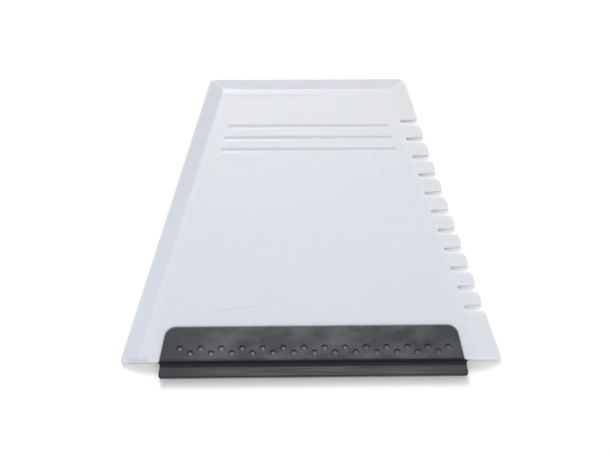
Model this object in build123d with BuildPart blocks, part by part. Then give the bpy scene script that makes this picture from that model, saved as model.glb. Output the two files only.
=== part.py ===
from build123d import *
import os
from math import radians, tan

# A hand-held ice scraper. A moulded plate is bevelled on three edges, and one bevel is cut
# into teeth. A rubber squeegee is moulded onto a thin tongue along the plate's wide edge.
# Millimetres, +Z up. The plate lies flat on Z = 0, its wide edge and the rubber towards -Y.
# The origin is at the middle of the whole scraper's length and width.

# Plate
wide_width = 118.0  # across the edge that carries the rubber
narrow_width = 65.0
plate_length = 95.8  # from the wide edge to the narrow edge
plate_thickness = 3.0
rim_thickness = 1.0  # left at the foot of each bevel
plain_bevel = 6.0  # measured along X
toothed_bevel = 6.5  # measured along X
narrow_bevel = 4.7  # measured along Y
wide_corner_radius = 1.2
plain_corner_radius = 1.6
toothed_corner_radius = 3.0

# Teeth, left standing between notches in the right-hand bevel
notch_pitch = 6.33
notch_reach = 6.65  # from the tips of the teeth to the notch's closed end
notch_width = 1.6  # at the closed end
notch_flare = 7.0  # degrees that the far wall opens towards the mouth
first_notch = 16.3  # from the wide edge
last_notch_margin = 14.0  # least distance from the narrow edge
tooth_far_radius = 1.6
tooth_near_radius = 1.0

# Grip grooves near the narrow edge
groove_count = 3
groove_pitch = 4.15
first_groove = 17.9  # from the narrow edge
groove_inset = 11.0  # from the side edge to the groove's end, along X
groove_width = 1.15
groove_depth = 0.25
groove_draft = 60.0  # degrees that its walls lean

# Tongue that the rubber holds
tongue_thickness = 1.2
tongue_setback = 1.2  # behind the plate's wide edge
lock_hole_radius = 1.4
lock_hole_row = 7.4  # from the wide edge
lock_hole_pitch = 14.0
lock_hole_end_margin = 8.0  # least distance from a hole to the flange's end

# Rubber base: two flanges joined through the tongue and round its end
flange_depth = 10.75  # from the wide edge
flange_length = 93.5  # at the wide edge
flange_taper = 10.5  # degrees that each end leans in
flange_radius = 3.5
flange_shift = 0.2  # off the plate's centreline
lower_flange_thickness = 0.9  # flush with the plate's underside
upper_flange_rise = 0.35  # above the plate's top face
flange_rim_radius = 0.25
nose_setback = 0.5  # behind the wide edge, where the upper flange starts to slope down
strip_overhang = 0.55  # of the skin, neck and lip past each end of the flanges
strip_shift = 0.6  # of the skin, neck and lip off the plate's centreline
skin_thickness = 0.5  # in front of the plate's wide edge
seat_gap = 0.05  # round the flanges, in the plate's recess

# Dimples in the upper flange, in two staggered rows
dimple_pitch = 6.34
dimple_end_margin = 4.5  # least distance from a dimple to the flange's end
dimple_far_row = 3.9  # from the wide edge
dimple_near_row = 2.4
dimple_radius = 1.05
dimple_depth = 0.6
dimple_floor_radius = 0.25
dimple_shift = 0.9  # off the plate's centreline

# Wiper lip, which bends on a thin neck
neck_length = 1.1
neck_thickness = 1.0
neck_end_inset = 0.4
lip_depth = 3.3
lip_root_height = 2.6
lip_tip_height = 2.0
lip_edge_radius = 0.3
lip_corner_radius = 0.6
hinge_clearance = 0.2

# Places worked out from the sizes
strip_length = flange_length + 2 * strip_overhang
strip_end = strip_shift - strip_length / 2
lip_reach = skin_thickness + neck_length + lip_depth
wide_edge = lip_reach - (plate_length + lip_reach) / 2
side_slope = (wide_width - narrow_width) / 2 / plate_length
tongue_base = lower_flange_thickness
tongue_top = tongue_base + tongue_thickness
flange_top = plate_thickness + upper_flange_rise
nose_height = flange_top - nose_setback  # of the slope, at the wide edge
neck_height = flange_top / 2
hinge_line = wide_edge - skin_thickness - neck_length
neck_radius = neck_thickness / 2
clear_over = plate_thickness  # how far a cutter runs past what it cuts
coincidence = 0.001  # points nearer than this are the same


def half_width(distance):
    """Half the plate's width at a distance from its wide edge."""
    return wide_width / 2 - side_slope * distance


def trapezium(left_inset, right_inset, narrow_inset):
    """The plate's outline, with its left, right and narrow sides moved in."""
    length = plate_length - narrow_inset
    return Polygon(
        (-half_width(0) + left_inset, wide_edge),
        (half_width(0) - right_inset, wide_edge),
        (half_width(length) - right_inset, wide_edge + length),
        (-half_width(length) + left_inset, wide_edge + length),
        align=None,
    )


def tooth_corners(blank):
    """The upright edges on the line of the tooth tips, from the wide edge up."""

    def on_tip_line(edge):
        distance = edge.center().Y - wide_edge
        between_ends = coincidence < distance < plate_length - coincidence
        return between_ends and abs(edge.center().X - half_width(distance)) < coincidence

    return blank.edges().filter_by(Axis.Z).filter_by(on_tip_line).sort_by(Axis.Y)


def flange_outline(grow):
    """The flanges' shape in plan, moved out by grow at its free sides."""
    lean = flange_depth * tan(radians(flange_taper))
    left, right = flange_shift - flange_length / 2, flange_shift + flange_length / 2
    with BuildSketch() as outline:
        Polygon(
            (left, wide_edge),
            (right, wide_edge),
            (right - lean, wide_edge + flange_depth),
            (left + lean, wide_edge + flange_depth),
            align=None,
        )
        fillet(outline.vertices().group_by(Axis.Y)[-1], flange_radius)
        offset(amount=grow)
    return outline.sketch


def row(count, pitch, shift, distance, height):
    """Points along X, in a row at a distance from the wide edge."""
    first = shift - (count - 1) / 2 * pitch
    return [(first + k * pitch, wide_edge + distance, height) for k in range(count)]


dimple_count = 1 + int((flange_length - 2 * dimple_end_margin) / dimple_pitch)
dimples = row(dimple_count, dimple_pitch, dimple_shift, dimple_far_row, flange_top)
dimples += row(dimple_count - 1, dimple_pitch, dimple_shift, dimple_near_row, flange_top)
lock_hole_count = 1 + int((flange_length - 2 * lock_hole_end_margin) / lock_hole_pitch)
lock_holes = row(lock_hole_count, lock_hole_pitch, flange_shift, lock_hole_row, 0)
notch_count = 1 + int((plate_length - first_notch - last_notch_margin) / notch_pitch)

with BuildPart() as bevelled_block:
    with BuildSketch():
        trapezium(0, 0, 0)
    extrude(amount=rim_thickness)
    with BuildSketch(Plane.XY.offset(rim_thickness)):
        trapezium(0, 0, 0)
    with BuildSketch(Plane.XY.offset(plate_thickness)):
        trapezium(plain_bevel, toothed_bevel, narrow_bevel)
    loft()

with BuildPart() as plate:
    with BuildSketch():
        trapezium(0, 0, 0)
        for k in range(notch_count):
            distance = first_notch + k * notch_pitch
            closed_end = half_width(distance) - notch_reach + notch_width / 2
            mouth = half_width(distance) + notch_width
            opening = (mouth - closed_end) * tan(radians(notch_flare))
            near_wall = wide_edge + distance - notch_width / 2
            far_wall = wide_edge + distance + notch_width / 2
            with Locations((closed_end, wide_edge + distance)):
                Circle(notch_width / 2, mode=Mode.SUBTRACT)
            Polygon(
                (closed_end, near_wall),
                (mouth, near_wall),
                (mouth, far_wall + opening),
                (closed_end, far_wall),
                align=None,
                mode=Mode.SUBTRACT,
            )
    extrude(amount=plate_thickness)
    fillet(tooth_corners(plate)[0::2], tooth_far_radius)
    fillet(tooth_corners(plate)[1::2], tooth_near_radius)
    upright_edges = plate.edges().filter_by(Axis.Z)
    fillet(upright_edges.group_by(Axis.Y)[0], wide_corner_radius)
    fillet(upright_edges.group_by(Axis.Y)[-1].sort_by(Axis.X)[0], plain_corner_radius)
    fillet(upright_edges.group_by(Axis.Y)[-1].sort_by(Axis.X)[-1], toothed_corner_radius)
    add(bevelled_block.part, mode=Mode.INTERSECT)

    with BuildSketch(Plane.XY.offset(plate_thickness)):
        for k in range(groove_count):
            distance = plate_length - first_groove - k * groove_pitch
            with Locations((0, wide_edge + distance)):
                SlotOverall(2 * (half_width(distance) - groove_inset), groove_width)
    extrude(amount=-groove_depth, taper=groove_draft, mode=Mode.SUBTRACT)

    with BuildSketch(Plane.XY.offset(tongue_top)):
        add(flange_outline(seat_gap))
    extrude(amount=plate_thickness - tongue_top + clear_over, mode=Mode.SUBTRACT)
    with BuildSketch(Plane.XY.offset(tongue_base)):
        add(flange_outline(seat_gap))
    extrude(amount=-tongue_base - clear_over, mode=Mode.SUBTRACT)
    with BuildSketch(Plane.XY.offset(tongue_base)):
        add(flange_outline(seat_gap))
        with Locations((0, wide_edge + tongue_setback)):
            Rectangle(wide_width, flange_depth, align=(Align.CENTER, Align.MIN), mode=Mode.SUBTRACT)
    extrude(amount=tongue_thickness, mode=Mode.SUBTRACT)
    with BuildSketch(Plane.XY.offset(tongue_base)):
        with Locations(lock_holes):
            Circle(lock_hole_radius)
    extrude(amount=tongue_thickness, mode=Mode.SUBTRACT)

with BuildPart() as squeegee_base:
    with BuildSketch():
        add(flange_outline(0))
    extrude(amount=flange_top)
    front_edges = squeegee_base.faces().sort_by(Axis.Y)[0].edges().filter_by(Axis.X)
    chamfer(front_edges.sort_by(Axis.Z)[-1], nose_setback)
    flange_rim = squeegee_base.faces().sort_by(Axis.Z)[-1].edges().sort_by(Axis.Y)[1:]
    fillet(flange_rim, flange_rim_radius)
    with BuildSketch(Plane.XY.offset(tongue_base)):
        with Locations((0, wide_edge + tongue_setback)):
            Rectangle(wide_width, flange_depth, align=(Align.CENTER, Align.MIN))
    extrude(amount=tongue_thickness, mode=Mode.SUBTRACT)
    with BuildSketch(Plane.XY.offset(tongue_base)):
        with Locations(lock_holes):
            Circle(lock_hole_radius)
    extrude(amount=tongue_thickness)

    with BuildSketch(Plane.YZ.offset(strip_end)):
        Polygon(
            (wide_edge, 0),
            (wide_edge, nose_height),
            (wide_edge - skin_thickness, nose_height - skin_thickness),
            (wide_edge - skin_thickness, 0),
            align=None,
        )
    extrude(amount=strip_length)
    with BuildSketch(Plane.YZ.offset(strip_end + neck_end_inset)):
        with Locations((wide_edge - skin_thickness, neck_height)):
            Rectangle(neck_length, neck_thickness, align=(Align.MAX, Align.CENTER))
        with Locations((hinge_line, neck_height)):
            Circle(neck_radius)
    extrude(amount=strip_length - 2 * neck_end_inset)

    with Locations(dimples):
        Cone(
            dimple_floor_radius,
            dimple_radius,
            dimple_depth,
            align=(Align.CENTER, Align.CENTER, Align.MAX),
            mode=Mode.SUBTRACT,
        )

with BuildPart() as wiper_lip:
    with BuildSketch(Plane.YZ.offset(strip_end)):
        Polygon(
            (hinge_line, neck_height - lip_root_height / 2),
            (hinge_line, neck_height + lip_root_height / 2),
            (hinge_line - lip_depth, neck_height + lip_tip_height / 2),
            (hinge_line - lip_depth, neck_height - lip_tip_height / 2),
            align=None,
        )
        with Locations((hinge_line, neck_height)):
            Circle(neck_radius + hinge_clearance, mode=Mode.SUBTRACT)
    extrude(amount=strip_length)
    front = wiper_lip.faces().sort_by(Axis.Y)[0]
    fillet(front.edges().filter_by(Axis.Z), lip_corner_radius)
    fillet(wiper_lip.faces().sort_by(Axis.Y)[0].edges().filter_by(Axis.X), lip_edge_radius)

os.makedirs("parts", exist_ok=True)
plate.part.label = "scraper_plate"
export_step(plate.part, "parts/scraper_plate.step")
squeegee_base.part.label = "squeegee_base"
export_step(squeegee_base.part, "parts/squeegee_base.step")
wiper_lip.part.label = "wiper_lip"
export_step(wiper_lip.part, "parts/wiper_lip.step")
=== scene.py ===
import math

import bmesh
import bpy
from mathutils import Matrix, Vector


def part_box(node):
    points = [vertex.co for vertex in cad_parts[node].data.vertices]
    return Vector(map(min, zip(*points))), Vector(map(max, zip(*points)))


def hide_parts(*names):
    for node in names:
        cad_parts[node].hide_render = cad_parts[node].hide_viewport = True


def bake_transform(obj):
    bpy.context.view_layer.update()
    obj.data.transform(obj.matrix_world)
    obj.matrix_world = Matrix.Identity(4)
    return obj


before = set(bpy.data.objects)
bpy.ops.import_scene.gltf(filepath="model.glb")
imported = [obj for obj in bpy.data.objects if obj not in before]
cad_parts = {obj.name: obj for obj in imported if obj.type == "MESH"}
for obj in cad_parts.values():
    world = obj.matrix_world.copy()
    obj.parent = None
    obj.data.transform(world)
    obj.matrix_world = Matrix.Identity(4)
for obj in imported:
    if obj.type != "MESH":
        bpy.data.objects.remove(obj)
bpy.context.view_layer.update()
mm = 0.001
print("frame loaded")


# The rubber is one moulding: flanges, skin, neck and lip. Sizes in millimetres.
rubber = {
    "flangeDepth": 10.75,
    "flangeLength": 93.5,
    "flangeShift": 0.2,
    "flangeTaper": 10.5,  # degrees that each end leans in
    "flangeCorner": 3.5,
    "lowerFlange": 0.9,
    "tongue": 1.2,
    "tongueSetback": 1.2,
    "rimRadius": 0.25,
    "noseSetback": 0.5,  # behind the wide edge, where the flange starts to slope down
    "noseSoftness": 0.08,  # either side of that line
    "skin": 0.5,
    "skinRadius": 0.1,
    "neckThickness": 1.0,
    "neckInset": 0.2,
    "neckMargin": (0.1, 0.05),  # in front of the skin, and over and under the neck, where it applies
    "filletRadius": 0.3,
    "lipRootHeight": 2.6,
    "lipTipHeight": 2.0,
    "lipRootRadius": 0.25,
    "lipTipRadius": 0.3,
    "lipCornerRadius": 0.6,
    "endStep": 0.1,  # length over which the ends step out to the skin
    "endHollow": 0.35,  # how far the ends draw in between the skin and the lip
    "hollowHeight": 0.5,  # above which they draw in, in front of the skin
    "hollowStart": 0.9,  # length over which they do
    "endBulge": 1.9,  # from the lip's root to its widest place
    "sharpAngle": 40,  # degrees, above which an edge isn't shaded smooth
    "dimplePitch": 6.34,
    "dimpleRows": [(14, 3.9), (13, 2.4)],  # how many, and how far from the wide edge
    "dimpleShift": 0.9,
    "dimpleRadius": 1.0,
    "dimpleDepth": (0.5, 0.22),  # in the middle, and how much deeper its far side is
    "dimpleWall": 0.42,  # share of the radius that the steep wall takes
    # how finely the mesh is divided
    "farRows": (8, 6),  # beside the round corners, and from there to the dimples
    "dimpleZone": (5.0, 1.3),  # from the wide edge
    "dimpleSpacing": 0.1,
    "plainColumns": 6,  # fine columns to a plain one away from the dimples
    "frontRow": 0.85,  # one more between the tongue's edge and the slope
    "quarterTurns": (0, 22, 45, 67, 90),  # degrees round the rim
    "lineStep": (0.0001, 0.35),  # shortest and longest of the lip's outline
    "lineCut": 0.25,  # what a longer one is cut into
}


def between(start, end, count):
    return [start + (end - start) * k / count for k in range(1, count + 1)]


def roundedLine(corners, steps=5):
    # each corner is (y, z, radius); the first and last are plain ends
    line = [Vector(corners[0][:2])]
    for before, corner, after in zip(corners, corners[1:], corners[2:]):
        here = Vector(corner[:2])
        back = (Vector(before[:2]) - here).normalized()
        ahead = (Vector(after[:2]) - here).normalized()
        half = back.angle(ahead) / 2
        reach = corner[2] / math.tan(half)
        centre = here + (back + ahead).normalized() * corner[2] / math.sin(half)
        first = here + back * reach - centre
        turn = first.angle_signed(here + ahead * reach - centre)
        for k in range(steps + 1):
            spoke = first.copy()
            spoke.rotate(Matrix.Rotation(-turn * k / steps, 2))
            line.append(centre + spoke)
    line.append(Vector(corners[-1][:2]))
    return line


def makeRubber(size):
    baseLow, baseHigh = (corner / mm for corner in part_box("squeegee_base"))
    lipLow, lipHigh = (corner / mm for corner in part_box("wiper_lip"))
    depth, taper = size["flangeDepth"], math.radians(size["flangeTaper"])
    wideEdge, top = baseHigh.y - depth, baseHigh.z
    middle = (lipLow.z + lipHigh.z) / 2
    corner, rim, setback = size["flangeCorner"], size["rimRadius"], size["noseSetback"]
    arcMiddle = depth - corner
    arcStart = arcMiddle + corner * math.sin(taper)
    arcAcross = size["flangeLength"] / 2 - corner / math.cos(taper) - arcMiddle * math.tan(taper)

    def flangeHalf(distance):
        if distance > arcStart:
            rest = corner ** 2 - (distance - arcMiddle) ** 2
            return arcAcross + math.sqrt(max(0, rest))
        return size["flangeLength"] / 2 - distance * math.tan(taper)

    def toRim(across, distance):
        # how far a point is inside the flange's free outline
        across = abs(across - size["flangeShift"])
        if across > arcAcross and distance > arcMiddle:
            arc = corner - math.hypot(across - arcAcross, distance - arcMiddle)
        else:
            arc = corner
        side = (size["flangeLength"] / 2 - across) * math.cos(taper) - distance * math.sin(taper)
        return max(0, min(arc, side, depth - distance))

    dimples = []
    for count, distance in size["dimpleRows"]:
        first = size["dimpleShift"] - (count - 1) / 2 * size["dimplePitch"]
        dimples += [(first + k * size["dimplePitch"], distance) for k in range(count)]

    def sunk(across, distance):
        for x, y in dimples:
            share = math.hypot(across - x, distance - y) / size["dimpleRadius"]
            if share < 1:
                centre, tilt = size["dimpleDepth"]
                floor = centre + tilt * (distance - y) / size["dimpleRadius"]
                return floor * math.sin(min(1, (1 - share) / size["dimpleWall"]) * math.pi / 2)
        return 0

    def flangeHeight(across, distance):
        height = top - sunk(across, distance)
        edge = toRim(across, distance)
        if edge < rim:
            height -= rim - math.sqrt(rim ** 2 - (rim - edge) ** 2)
        return height - max(0, setback - distance)

    # rows of the flange's top, from the far rim to the front
    quarter = [1 - math.cos(math.radians(turn)) for turn in size["quarterTurns"]]
    rows = [depth - rim * share for share in quarter]
    farEnd, nearEnd = size["dimpleZone"]
    cornerRows, plainRows = size["farRows"]
    rows += between(rows[-1], arcStart, cornerRows) + between(arcStart, farEnd, plainRows)
    rows += between(farEnd, nearEnd, round((farEnd - nearEnd) / size["dimpleSpacing"]))
    turning = size["noseSoftness"]
    rows += [size["tongueSetback"], size["frontRow"], setback + turning, setback - turning, setback / 2, 0]
    flangeRows = len(rows)
    setbackRow = rows.index(size["tongueSetback"])

    # the skin, neck and lip, as one line from the front of the flange round to the underside
    skinFront = wideEdge - size["skin"]
    hinge, tip = lipHigh.y, lipLow.y
    neck, root, end = size["neckThickness"] / 2, size["lipRootHeight"] / 2, size["lipTipHeight"] / 2
    fillet = size["filletRadius"]
    noseTop = top - setback
    outline = [
        (wideEdge - size["endStep"], noseTop - size["endStep"], 0),
        (wideEdge - (noseTop - middle - neck), middle + neck, fillet),
        (hinge, middle + neck, fillet / 2),
        (hinge, middle + root, size["lipRootRadius"]),
        (tip, middle + end, size["lipTipRadius"]),
        (tip, middle - end, size["lipTipRadius"]),
        (hinge, middle - root, size["lipRootRadius"]),
        (hinge, middle - neck, fillet / 2),
        (skinFront, middle - neck, fillet),
        (skinFront, 0, size["skinRadius"]),
        (wideEdge - size["endStep"], 0, 0),
    ]
    line = []
    shortest, longest = size["lineStep"]
    for point in roundedLine(outline):
        gap = (point - line[-1]).length if line else longest
        if gap < shortest:
            continue
        if gap > longest:
            count = math.ceil(gap / size["lineCut"])
            line += [line[-1].lerp(point, k / count) for k in range(1, count)]
        line.append(point)

    def stripInset(y, z):
        # how far a row's ends draw in, for its place on the outline
        radius, (ahead, aside) = size["lipCornerRadius"], size["neckMargin"]
        if y < hinge:
            bulged = min(1, (hinge - y) / size["endBulge"])
            short = radius - min(max(y - tip, 0), radius)
            return size["endHollow"] * (1 - bulged ** 2) + radius - math.sqrt(radius ** 2 - short ** 2)
        if y < skinFront - ahead and abs(z - middle) < neck + aside:
            return size["neckInset"]
        if z > size["hollowHeight"] and y < skinFront:
            return size["endHollow"] * min(1, (skinFront - y) / size["hollowStart"])
        return 0

    every = size["plainColumns"]
    plainColumns = math.ceil((baseHigh.x - baseLow.x - 2 * rim) / size["dimpleSpacing"] / every)
    steps = [rim * share for share in quarter[:-1]]

    def across(left, right, columns):
        inner = [left + rim + (right - left - 2 * rim) * k / columns for k in range(columns + 1)]
        return [left + s for s in steps] + inner + [right - s for s in reversed(steps)]

    def join(upperRow, lowerRow):
        # strips of faces between two rows, where a cell of a plain row may meet several fine ones
        if len(upperRow) == len(lowerRow):
            for k in range(len(upperRow) - 1):
                mesh.faces.new((upperRow[k], lowerRow[k], lowerRow[k + 1], upperRow[k + 1]))
            return

        def cell(row, k):
            fineness = (len(row) - 2 * len(steps) - 1) // plainColumns
            first, last = (n - len(steps) for n in (k, k + 1))
            first, last = (n + (fineness - 1) * min(max(n, 0), plainColumns) for n in (first, last))
            return row[first + len(steps):last + len(steps) + 1]

        for k in range(plainColumns + 2 * len(steps)):
            mesh.faces.new(cell(upperRow, k)[::-1] + cell(lowerRow, k))

    mesh = bmesh.new()
    grid = []
    for distance in rows:
        half = flangeHalf(distance)
        columns = plainColumns * (every if nearEnd <= distance <= farEnd else 1)
        places = across(size["flangeShift"] - half, size["flangeShift"] + half, columns)
        grid.append([mesh.verts.new((x, wideEdge + distance, flangeHeight(x, distance))) for x in places])
    for y, z in line:
        inset = stripInset(y, z)
        places = across(baseLow.x + inset, baseHigh.x - inset, plainColumns)
        grid.append([mesh.verts.new((x, y, z)) for x in places])
    for upperRow, lowerRow in zip(grid, grid[1:]):
        join(upperRow, lowerRow)

    # below the flange: the slot for the tongue, and the lower flange
    slotTop, slotFloor = size["lowerFlange"] + size["tongue"], size["lowerFlange"]
    ends = {}
    for side in (0, -1):
        for height in (slotTop, slotFloor, 0):
            count = setbackRow + 1 if height else flangeRows
            edge = [row[side].co.copy() for row in grid[:count]]
            ends[side, height] = [mesh.verts.new((point.x, point.y, height)) for point in edge]
        above, roof = [row[side] for row in grid], ends[side, slotTop]
        shelf, ground = ends[side, slotFloor], ends[side, 0]
        for k in range(setbackRow):
            mesh.faces.new((above[k], above[k + 1], roof[k + 1], roof[k]))
            mesh.faces.new((shelf[k], shelf[k + 1], ground[k + 1], ground[k]))
        s = setbackRow
        mesh.faces.new((above[s], above[s + 1], ground[s + 1], ground[s], shelf[s], roof[s]))
        for k in range(s + 1, flangeRows - 1):
            mesh.faces.new((above[k], above[k + 1], ground[k + 1], ground[k]))
        mesh.faces.new(above[flangeRows - 1:] + [ground[-1]])
    for height in (slotTop, slotFloor):
        mesh.faces.new(ends[0, height] + ends[-1, height][::-1])
    mesh.faces.new((ends[0, slotTop][-1], ends[-1, slotTop][-1],
                    ends[-1, slotFloor][-1], ends[0, slotFloor][-1]))
    mesh.faces.new(grid[0] + [ends[-1, slotTop][0], ends[0, slotTop][0]])
    mesh.faces.new((ends[0, slotFloor][0], ends[-1, slotFloor][0],
                    ends[-1, 0][0], ends[0, 0][0]))
    mesh.faces.new(ends[0, 0] + grid[-1] + ends[-1, 0][::-1])

    bmesh.ops.scale(mesh, vec=(mm, mm, mm), verts=mesh.verts)
    bmesh.ops.recalc_face_normals(mesh, faces=mesh.faces)
    data = bpy.data.meshes.new("squeegee_rubber")
    mesh.to_mesh(data)
    mesh.free()
    data.shade_smooth()
    data.set_sharp_from_angle(angle=math.radians(size["sharpAngle"]))
    piece = bpy.data.objects.new("squeegee_rubber", data)
    bpy.context.scene.collection.objects.link(piece)
    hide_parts("squeegee_base", "wiper_lip")
    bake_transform(piece)
    return piece


squeegeeRubber = makeRubber(rubber)
print("rubber made:", len(squeegeeRubber.data.polygons), "faces")


noiseSpan = (0.3, 0.7)  # most of a noise's values lie between


def startMaterial(name):
    material = bpy.data.materials.new(name)
    material.use_nodes = True
    return material, material.node_tree, material.node_tree.nodes["Principled BSDF"]


def feed(tree, value, socket):
    # value is another node's output, or a plain number or colour
    if isinstance(value, bpy.types.NodeSocket):
        tree.links.new(value, socket)
    else:
        socket.default_value = value


def addNode(tree, kind, inputs=(), **settings):
    node = tree.nodes.new(kind)
    for name, value in settings.items():
        setattr(node, name, value)
    for name, value in dict(inputs).items():
        feed(tree, value, node.inputs[name])
    return node


def split(tree, vector):
    return addNode(tree, "ShaderNodeSeparateXYZ", {"Vector": vector}).outputs


def stretched(tree, place, scale):
    return addNode(tree, "ShaderNodeMapping", {"Vector": place, "Scale": scale}).outputs["Vector"]


def noise(tree, place, scale, detail=2.0, roughness=0.5):
    values = {"Vector": place, "Scale": scale, "Detail": detail, "Roughness": roughness}
    return addNode(tree, "ShaderNodeTexNoise", values).outputs["Fac"]


def spread(tree, value, fromLow, fromHigh, low, high, kind="LINEAR"):
    values = {"Value": value, "From Min": fromLow, "From Max": fromHigh, "To Min": low, "To Max": high}
    return addNode(tree, "ShaderNodeMapRange", values, interpolation_type=kind).outputs["Result"]


def ramp(tree, value, fromLow, fromHigh, low, high):
    return spread(tree, value, fromLow, fromHigh, low, high, "SMOOTHSTEP")


def combine(tree, kind, first, second=0.0):
    node = addNode(tree, "ShaderNodeMath", operation=kind)
    feed(tree, first, node.inputs[0])
    feed(tree, second, node.inputs[1])
    return node.outputs["Value"]


def multiply(tree, first, second):
    return combine(tree, "MULTIPLY", first, second)


def blendColours(tree, share, first, second, kind="MIX"):
    node = addNode(tree, "ShaderNodeMix", data_type="RGBA", blend_type=kind)
    feed(tree, share, node.inputs[0])
    feed(tree, first, node.inputs[6])
    feed(tree, second, node.inputs[7])
    return node.outputs[2]


def bump(tree, height, strength, distance, under=None):
    values = {"Height": height, "Strength": strength, "Distance": distance}
    if under:
        values["Normal"] = under
    return addNode(tree, "ShaderNodeBump", values).outputs["Normal"]


def within(tree, value, centre, half, soft):
    # 1 where the value is within half of the centre, falling to 0 over the soft margin
    off = combine(tree, "ABSOLUTE", combine(tree, "SUBTRACT", value, centre))
    return ramp(tree, off, half, half + soft, 1, 0)


whitePlastic = {
    "colour": (0.700, 0.728, 0.785, 1),
    "farSheenColour": (0.720, 0.736, 0.771, 1),  # painted sheen: lighter towards the narrow end, where the panel mirrors the lamp
    "farSheenSpan": (-0.030, 0.045),  # from and to along the plate
    "clouds": (28, 3, 0.2),  # size and detail of the noise, and how far its random tone shifts the painted sheen
    "wallLightColour": (0.89, 0.90, 0.93, 1),  # painted light on the upright edges, which makes them lighter
    "uprightSlope": (0.2, 0.5),
    "roughness": (0.32, 0.35),
    "refraction": 1.49,
    "glow": 1.0,  # share of the light that scatters inside
    "glowDepth": 0.0018,
    "edgeSoftness": 0.00015,
    "crease": (-0.04043, 0.2766),  # of the plain side: where it crosses the middle, and its lean
    "creaseReach": (0.0026, 0.0012),
    "creaseSoftness": 0.0024,
    # painted shade on the thin far and left bevels and painted light on the thin right one, by the way each
    # faces, and the share of the left one's shade at the wide end
    "farBevelShade": (0.842, 0.838, 0.854, 1),
    "leftBevelShade": (0.865, 0.872, 0.895, 1),
    "rightBevelLight": (1.03, 1.02, 0.995, 1),
    "leftShare": 0.45,
    "bevelSlope": (0.1, 0.25),
    "scuffs": (40, 90, 40),  # how fine the noise is along each side
    "waves": (60, 110, 60),
    "waveBump": (0.08, 0.00004),  # strength and height
    "grainSize": 3200,
    "grainBump": (0.04, 0.00002),
    "flowMarks": [
        # crest, width of its far side and its near side, height, from and to across
        (0.04405, 0.0013, 0.0013, 0.65, -0.026, 0.002),
        (0.02705, 0.0005, 0.004, 0.75, -0.025, -0.011),
        (0.02300, 0.0005, 0.004, 0.6, -0.026, -0.018),
        (0.02960, 0.0005, 0.002, 0.6, -0.011, 0.006),
        (0.03105, 0.0005, 0.002, 0.5, -0.021, -0.013),
    ],
    "flowPatches": (300, 90, 60),
    "patchSpan": (0.34, 0.5, 0.2, 1),  # of the noise, and the share of a mark's height
    "flowHeight": 0.0001,
    "flowFade": 0.005,
    "scratch": ((-0.02945, -0.02972), 6.97, 0.0128),  # start, degrees, length
    "scratchWidth": (0.00003, 0.0001),  # half of its middle, and the soft margin
    "scratchFade": 0.001,
    "scratchDepth": 0.5,
    "scratchColour": (0.35, 0.36, 0.38, 1),
    "scratchDarkening": 0.35,
}


def scratchMask(tree, place, look):
    start, turn, length = look["scratch"]
    along = addNode(tree, "ShaderNodeMapping", vector_type="TEXTURE", inputs={
        "Vector": place, "Location": (*start, 0), "Rotation": (0, 0, math.radians(turn))})
    line = split(tree, along.outputs["Vector"])
    return multiply(tree, within(tree, line["Y"], 0, *look["scratchWidth"]),
                    within(tree, line["X"], length / 2, length / 2, look["scratchFade"]))


def flowRidges(tree, place, sides, look):
    patches = noise(tree, stretched(tree, place, look["flowPatches"]), 1, 2)
    patches = spread(tree, patches, *look["patchSpan"])
    marks = 0.0
    for crest, far, near, height, left, right in look["flowMarks"]:
        ridge = multiply(tree, ramp(tree, sides["Y"], crest, crest + far, 1, 0),
                         ramp(tree, sides["Y"], crest - near, crest, 0, 1))
        reach = within(tree, sides["X"], (left + right) / 2, (right - left) / 2, look["flowFade"])
        ridge = multiply(tree, multiply(tree, ridge, reach), height)
        marks = combine(tree, "ADD", marks, multiply(tree, ridge, patches))
    return marks


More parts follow.
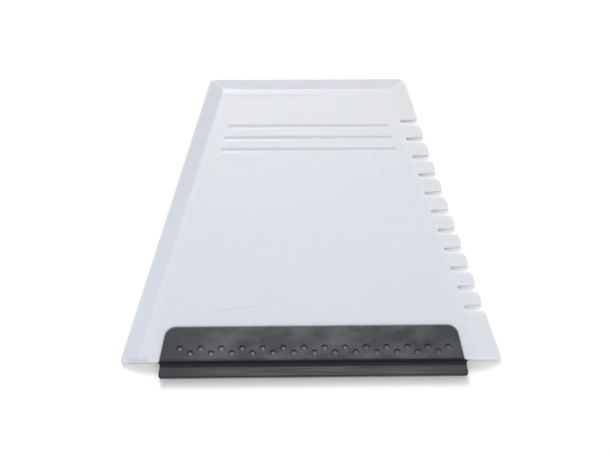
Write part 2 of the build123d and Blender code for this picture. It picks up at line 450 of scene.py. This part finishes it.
def makePlastic(look):
    material, tree, shader = startMaterial("white_plastic")
    place = addNode(tree, "ShaderNodeTexCoord").outputs["Object"]
    sides = split(tree, place)

    # the edges are shaded soft, and the plain side's crease softer
    middle, lean = look["crease"]
    off = combine(tree, "SUBTRACT", sides["X"], multiply(tree, sides["Y"], lean))
    near = within(tree, off, middle, *look["creaseReach"])
    softness = spread(tree, near, 0, 1, look["edgeSoftness"], look["creaseSoftness"])
    soft = addNode(tree, "ShaderNodeBevel", {"Radius": softness}, samples=8).outputs["Normal"]
    facing = split(tree, soft)

    # colour: painted sheen towards the narrow end, painted shade and light on the bevels by the way they
    # face, and painted light on the upright walls
    farSheen = ramp(tree, sides["Y"], *look["farSheenSpan"], 0, 1)
    cloudSize, cloudDetail, cloudShift = look["clouds"]
    clouds = noise(tree, place, cloudSize, cloudDetail)
    clouds = spread(tree, clouds, *noiseSpan, -cloudShift, cloudShift)
    shade = blendColours(tree, combine(tree, "ADD", farSheen, clouds), look["colour"], look["farSheenColour"])
    gentle, steep = look["bevelSlope"]
    leftwards = multiply(tree, spread(tree, farSheen, 0, 1, look["leftShare"], 1),
                         spread(tree, facing["X"], -gentle, -steep, 0, 1))
    rightwards = spread(tree, facing["X"], gentle, steep, 0, 1)
    backwards = spread(tree, facing["Y"], gentle, steep, 0, 1)
    # painted shade and light on the bevels, by the way they face
    for share, tint in ((leftwards, "leftBevelShade"), (rightwards, "rightBevelLight"), (backwards, "farBevelShade")):
        shade = blendColours(tree, share, shade, look[tint], "MULTIPLY")
    # painted light: the upright walls get a lighter colour
    upright = spread(tree, combine(tree, "ABSOLUTE", facing["Z"]), *look["uprightSlope"], 1, 0)
    shade = blendColours(tree, upright, shade, look["wallLightColour"])
    scratch = scratchMask(tree, place, look)
    # darker along the scratch
    darkening = multiply(tree, scratch, look["scratchDarkening"])
    feed(tree, blendColours(tree, darkening, shade, look["scratchColour"]), shader.inputs["Base Color"])

    scuffs = noise(tree, stretched(tree, place, look["scuffs"]), 1, 2)
    feed(tree, spread(tree, scuffs, *noiseSpan, *look["roughness"]), shader.inputs["Roughness"])

    # surface: slow waves, then flow marks and the scratch, then a fine grain
    waves = noise(tree, stretched(tree, place, look["waves"]), 1, 2)
    surface = bump(tree, waves, *look["waveBump"], soft)
    marks = flowRidges(tree, place, sides, look)
    marks = combine(tree, "SUBTRACT", marks, multiply(tree, scratch, look["scratchDepth"]))
    surface = bump(tree, marks, 1.0, look["flowHeight"], surface)
    grain = noise(tree, place, look["grainSize"], 1)
    feed(tree, bump(tree, grain, *look["grainBump"], surface), shader.inputs["Normal"])

    shader.inputs["IOR"].default_value = look["refraction"]
    shader.inputs["Subsurface Weight"].default_value = look["glow"]
    shader.inputs["Subsurface Radius"].default_value = (1, 1, 1)
    shader.inputs["Subsurface Scale"].default_value = look["glowDepth"]
    return material


blackRubber = {
    "colour": (0.041, 0.044, 0.052, 1),
    "dustyColour": (0.093, 0.098, 0.110, 1),
    "grooveShadeColour": (0.019, 0.021, 0.025, 1),  # painted shade in the groove and round the lip's edge
    "lipTint": (1.06, 1.02, 0.98, 1),
    # how fine the noise is along each side, its detail and its roughness
    "smears": ((110, 190, 110), 5, 0.6),
    "lipStreaks": ((45, 1500, 700), 4, 0.6),
    "dustSpan": (0.35, 0.65),
    "leftEndShade": (-0.042, -0.028, 0.05),  # painted shade: the dust fades out towards the ends, making them darker
    "rightEndShade": (0.046, 0.030, 0.35),
    "roughness": (0.40, 0.48),
    "grooveRoughness": 0.9,
    "dimpleRoughness": 0.4,
    "grainSize": (2600, 3),
    "grainBump": (0.25, 0.00004),
    # where things are along the scraper: middle and half width
    "dimples": (-0.0423, 0.0019),
    "groove": (-0.04630, 0.00099),
    "lipEdge": (-0.05008, 0.00012),
    "softMargin": 0.0001,
    "lip": (-0.0476, -0.0473),  # where its finish is full, and where it ends
    "dimpleTop": (0.00315, 0.00328),  # heights, likewise
}


def makeRubberLook(look):
    material, tree, shader = startMaterial("black_rubber")
    place = addNode(tree, "ShaderNodeTexCoord").outputs["Object"]
    sides = split(tree, place)
    inDimples, inGroove, onEdge = (within(tree, sides["Y"], *look[key], look["softMargin"])
                                   for key in ("dimples", "groove", "lipEdge"))
    inDimples = multiply(tree, inDimples, spread(tree, sides["Z"], *look["dimpleTop"], 1, 0))
    onLip = spread(tree, sides["Y"], *look["lip"], 1, 0)

    # dust lies in smears on the flange and in streaks along the lip
    smears, streaks = (noise(tree, stretched(tree, place, stretch), 1, detail, roughness)
                       for stretch, detail, roughness in (look["smears"], look["lipStreaks"]))
    smears = spread(tree, onLip, 0, 1, smears, streaks)
    dust = spread(tree, smears, *look["dustSpan"], 0, 1)
    # painted shade: less dust towards the ends darkens them
    for key in ("leftEndShade", "rightEndShade"):
        dust = multiply(tree, dust, spread(tree, sides["X"], *look[key], 1))
    shade = blendColours(tree, dust, look["colour"], look["dustyColour"])
    shade = blendColours(tree, onLip, shade, look["lipTint"], "MULTIPLY")
    # painted shade: darker colour in the groove and along the lip's lower edge
    shadedPlaces = combine(tree, "MAXIMUM", inGroove, onEdge)
    feed(tree, blendColours(tree, shadedPlaces, shade, look["grooveShadeColour"]), shader.inputs["Base Color"])

    rough = spread(tree, smears, *noiseSpan, *look["roughness"])
    rough = spread(tree, inDimples, 0, 1, rough, look["dimpleRoughness"])
    feed(tree, spread(tree, inGroove, 0, 1, rough, look["grooveRoughness"]), shader.inputs["Roughness"])
    grain = noise(tree, place, *look["grainSize"])
    feed(tree, bump(tree, grain, *look["grainBump"]), shader.inputs["Normal"])
    return material


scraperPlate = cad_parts["scraper_plate"]
scraperPlate.data.materials.clear()
scraperPlate.data.materials.append(makePlastic(whitePlastic))
squeegeeRubber.data.materials.append(makeRubberLook(blackRubber))
print("materials made")


studio = {
    "floorSize": 4.0,
    "floorDrop": 0.00002,  # just under the scraper
    "floorColour": (0.93, 0.93, 0.93, 1),
    "floorLift": 0.08,
    "ambient": 0.70,
    "horizon": (0.03, 0.2),  # where the white turns to the ceiling
    "ceiling": 0.35,  # what gloss reflects from above
    "lamps": [
        # name, power, width, length, distance, degrees towards the back, degrees to the left
        ("softbox", 40.5, 0.85, 0.85, 3.0, 46, 9),
        ("strip", 5, 0.5, 0.25, 3.0, 28, 0),
    ],
}


def whiteForCamera(tree):
    rays = addNode(tree, "ShaderNodeLightPath")
    seen = combine(tree, "MAXIMUM", rays.outputs["Is Camera Ray"], rays.outputs["Is Glossy Ray"])
    return combine(tree, "MAXIMUM", seen, rays.outputs["Is Transmission Ray"])


def makeFloor(plan):
    half = plan["floorSize"] / 2
    data = bpy.data.meshes.new("studio_floor")
    corners = [(-half, -half, 0), (half, -half, 0), (half, half, 0), (-half, half, 0)]
    data.from_pydata(corners, [], [(0, 1, 2, 3)])
    floor = bpy.data.objects.new("studio_floor", data)
    floor.location.z = -plan["floorDrop"]
    bpy.context.scene.collection.objects.link(floor)
    material = bpy.data.materials.new("studio_floor")
    material.use_nodes = True
    tree = material.node_tree
    tree.nodes.clear()
    matt = addNode(tree, "ShaderNodeBsdfDiffuse", {"Color": plan["floorColour"]})
    lift = multiply(tree, whiteForCamera(tree), plan["floorLift"])
    glow = addNode(tree, "ShaderNodeEmission", {"Strength": lift})
    both = addNode(tree, "ShaderNodeAddShader")
    tree.links.new(matt.outputs["BSDF"], both.inputs[0])
    tree.links.new(glow.outputs["Emission"], both.inputs[1])
    out = addNode(tree, "ShaderNodeOutputMaterial")
    tree.links.new(both.outputs["Shader"], out.inputs["Surface"])
    data.materials.append(material)


def makeWorld(plan):
    world = bpy.data.worlds.new("studio")
    bpy.context.scene.world = world
    world.use_nodes = True
    tree = world.node_tree
    background = tree.nodes["Background"]
    direction = addNode(tree, "ShaderNodeTexCoord").outputs["Generated"]
    backdrop = spread(tree, split(tree, direction)["Z"], *plan["horizon"], 1, plan["ceiling"])
    strength = spread(tree, whiteForCamera(tree), 0, 1, plan["ambient"], backdrop)
    tree.links.new(strength, background.inputs["Strength"])
    background.inputs["Color"].default_value = (1, 1, 1, 1)


def makeLamps(plan):
    for name, power, width, length, distance, lean, turn in plan["lamps"]:
        lamp = bpy.data.lights.new(name, "AREA")
        lamp.shape = "RECTANGLE"
        lamp.size, lamp.size_y = width, length
        lamp.energy = power
        holder = bpy.data.objects.new(name, lamp)
        lean, turn = math.radians(lean), math.radians(turn)
        toLamp = Vector((-math.sin(turn), math.sin(lean) * math.cos(turn), math.cos(lean) * math.cos(turn)))
        holder.location = toLamp * distance
        holder.rotation_euler = toLamp.to_track_quat("Z", "Y").to_euler()
        holder.visible_camera = False
        bpy.context.scene.collection.objects.link(holder)


makeFloor(studio)
makeWorld(studio)
makeLamps(studio)
bpy.context.scene.view_settings.view_transform = "Standard"
print("studio made")


shot = {
    "place": (-0.00839, -0.09945, 0.30681),
    "elevation": 72.328,
    "yaw": 4.085,
    "roll": 3.519,
    "lens": 59.016,
    "sensor": 36,
    "clip": (0.01, 20),
}


def makeCamera(plan):
    data = bpy.data.cameras.new("camera")
    data.lens, data.sensor_width = plan["lens"], plan["sensor"]
    data.clip_start, data.clip_end = plan["clip"]
    camera = bpy.data.objects.new("camera", data)
    bpy.context.scene.collection.objects.link(camera)
    high, yaw, roll = (math.radians(plan[k]) for k in ("elevation", "yaw", "roll"))
    ahead = Vector((math.sin(yaw) * math.cos(high), math.cos(yaw) * math.cos(high), -math.sin(high)))
    level = Vector((math.cos(yaw), -math.sin(yaw), 0))
    above = level.cross(ahead)
    right = level * math.cos(roll) + above * math.sin(roll)
    up = above * math.cos(roll) - level * math.sin(roll)
    turn = Matrix((right, up, -ahead)).transposed().to_4x4()
    camera.matrix_world = Matrix.Translation(plan["place"]) @ turn
    bpy.context.scene.camera = camera


makeCamera(shot)
print("camera set")
